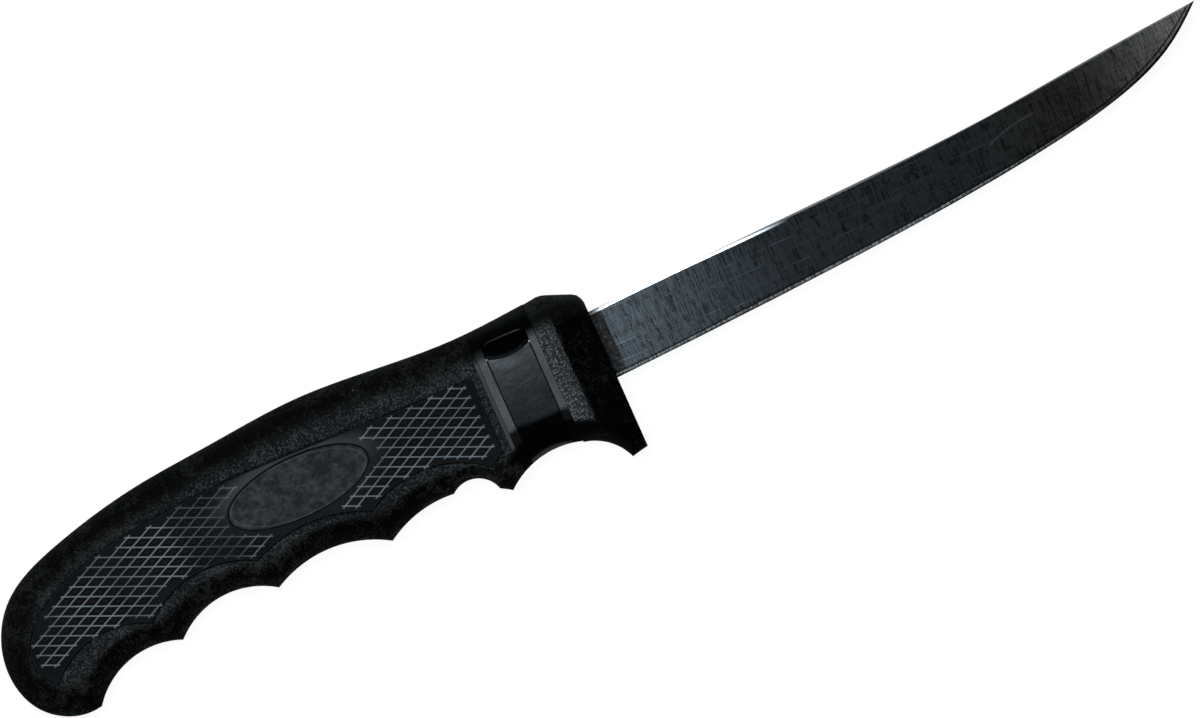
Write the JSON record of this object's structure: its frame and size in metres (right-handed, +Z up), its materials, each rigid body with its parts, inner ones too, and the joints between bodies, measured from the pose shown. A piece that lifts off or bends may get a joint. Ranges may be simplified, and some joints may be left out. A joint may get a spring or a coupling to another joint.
{
  "type": "adjustable fillet knife",
  "caption": "Fillet knife with a slim swept blade that slides out of a finger-grooved rubber handle and locks with a cam lever at the neck.",
  "frame": {"origin": "middle of the base of the part's box as the knife lies on its side, straight below the guard's front face", "axes": "+X along the blade to the tip, +Y towards the spine, +Z up towards the side that carries the lock lever"},
  "size_m": [0.304, 0.0455, 0.021],
  "materials": {
    "blade_steel": "satin, ground crosswise",
    "plain_steel": "plain",
    "inner_nylon": "moulded",
    "core_plastic": "smooth moulded",
    "lever_plastic": "glossy",
    "grip_rubber": "pebbled",
    "guard_rubber": "pebbled",
    "panel_rubber": "chequered",
    "oval_plastic": "smooth"
  },
  "bodies": {
    "handle": {"grip": "grip_rubber", "guard": "guard_rubber", "core_left": "core_plastic", "core_right": "core_plastic", "core_screws": "plain_steel", "side_panel_left": "panel_rubber", "side_panel_right": "panel_rubber", "oval_plate_left": "oval_plastic", "oval_plate_right": "oval_plastic", "lever_pin": "plain_steel", "clamp_leaf": "inner_nylon"},
    "blade": {"blade": "blade_steel", "tang_stop": "inner_nylon", "tang_rivets": "plain_steel"},
    "lever": {"lock_lever": "lever_plastic"}
  },
  "joints": [
    {"name": "blade_slide", "type": "slide", "parent": "handle", "child": "blade", "axis": [1, 0, 0], "range_m": [0, 0.0762]},
    {"name": "lever_hinge", "type": "hinge", "parent": "handle", "child": "lever", "pos_m": [-0.01995, 0.0129, 0.0179], "axis": [-1, 0, 0], "range_deg": [0, 90]}
  ]
}
